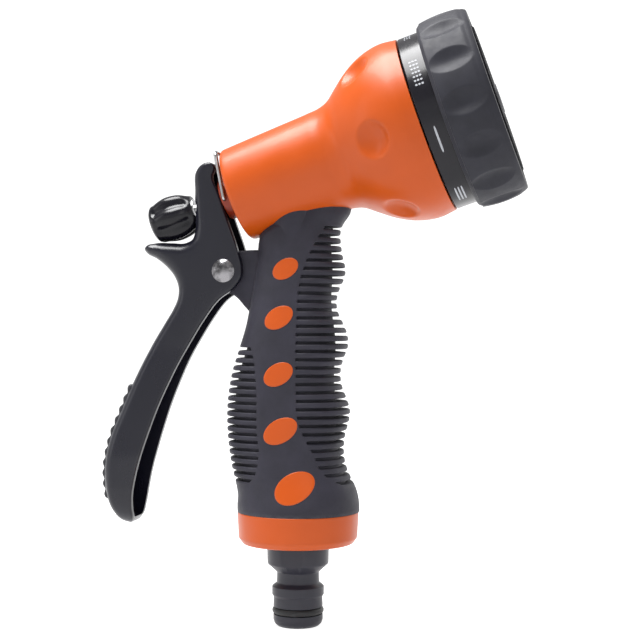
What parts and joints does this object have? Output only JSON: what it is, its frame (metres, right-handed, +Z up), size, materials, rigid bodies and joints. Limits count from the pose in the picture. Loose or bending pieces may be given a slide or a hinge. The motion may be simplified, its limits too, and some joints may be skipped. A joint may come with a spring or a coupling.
{
  "type": "hose spray nozzle",
  "caption": "Pistol-grip hose spray nozzle with a rear squeeze trigger, flow knob, hold-open wire and turning pattern dial on a quick-connect plug.",
  "frame": {"origin": "centre of the hose plug's mouth, at the lower end of the handle", "axes": "+Z up the handle's axis, +X towards the side the water leaves, +Y across the nozzle's mirror plane"},
  "size_m": [0.1339, 0.0604, 0.19],
  "materials": {
    "orange_shell": "moulded ABS, satin gloss",
    "soft_grip": "soft moulded rubber, matt",
    "plug_plastic": "hard plastic, satin gloss",
    "seal_rubber": "black seal rubber",
    "rivet_metal": "bright nickel plate",
    "gland_plastic": "red-orange moulded plastic",
    "spring_wire": "spring steel",
    "stem_metal": "turned stainless steel",
    "nut_brass": "brass",
    "knob_plastic": "glossy black plastic",
    "lever_plastic": "glossy black plastic",
    "pad_rubber": "ridged rubber",
    "wire_steel": "bent bright steel wire",
    "inner_plastic": "dark grey inner plastic",
    "ring_plastic": "glossy black with pale printed marks",
    "bezel_rubber": "dark grey rubber, matt",
    "face_plastic": "dark plastic face",
    "cap_plastic": "dark grey plastic"
  },
  "bodies": {
    "body": {"body_shell": "orange_shell", "grip_sleeve": "soft_grip", "hose_tail": "plug_plastic", "tail_o_ring": "seal_rubber", "tail_washer": "seal_rubber", "pivot_rivet": "rivet_metal", "valve_gland": "gland_plastic", "gland_seal": "seal_rubber", "stem_seal": "seal_rubber", "valve_spring": "spring_wire", "port_plate": "inner_plastic", "selector_seal": "seal_rubber", "selector_spring": "spring_wire", "detent_ball": "stem_metal", "detent_spring": "spring_wire", "screw_washer": "stem_metal", "centre_screw": "stem_metal"},
    "trigger": {"trigger_lever": "lever_plastic", "trigger_pad": "pad_rubber"},
    "stem": {"valve_stem": "stem_metal", "valve_seal": "seal_rubber", "stem_nut": "nut_brass"},
    "knob_carrier": {"knob_washer": "stem_metal"},
    "knob": {"flow_knob": "knob_plastic"},
    "dial": {"label_ring": "ring_plastic", "dial_bezel": "bezel_rubber", "divider": "inner_plastic", "spray_plate": "face_plastic", "centre_cap": "cap_plastic"},
    "lock": {"lock_wire": "wire_steel"}
  },
  "joints": [
    {"name": "trigger_squeeze", "type": "hinge", "parent": "body", "child": "trigger", "pos_m": [-0.0225, 0, 0.11085], "axis": [0, -1, 0], "range_deg": [0, 15]},
    {"name": "stem_slide", "type": "slide", "parent": "body", "child": "stem", "axis": [-0.9455, 0, -0.3256], "range_m": [0, 0.0057], "deforming": ["valve_spring"]},
    {"name": "knob_feed", "type": "slide", "parent": "stem", "child": "knob_carrier", "axis": [-0.9455, 0, -0.3256], "range_m": [0, 0.00098611]},
    {"name": "knob_turn", "type": "hinge", "parent": "knob_carrier", "child": "knob", "pos_m": [-0.03971, 0, 0.12793], "axis": [0.9455, 0, 0.3256], "range_deg": [0, 355]},
    {"name": "dial_turn", "type": "hinge", "parent": "body", "child": "dial", "pos_m": [0.052, 0, 0.15951], "axis": [0.9455, 0, 0.3256], "continuous": true},
    {"name": "wire_swing", "type": "hinge", "parent": "body", "child": "lock", "pos_m": [-0.02205, 0, 0.13316], "axis": [0, -1, 0], "range_deg": [0, 37]}
  ],
  "couplings": [
    {"joint": "stem_slide", "follows": "trigger_squeeze", "m_per_rad": 0.02157},
    {"joint": "knob_turn", "follows": "knob_feed", "rad_per_m": 6283.2}
  ]
}
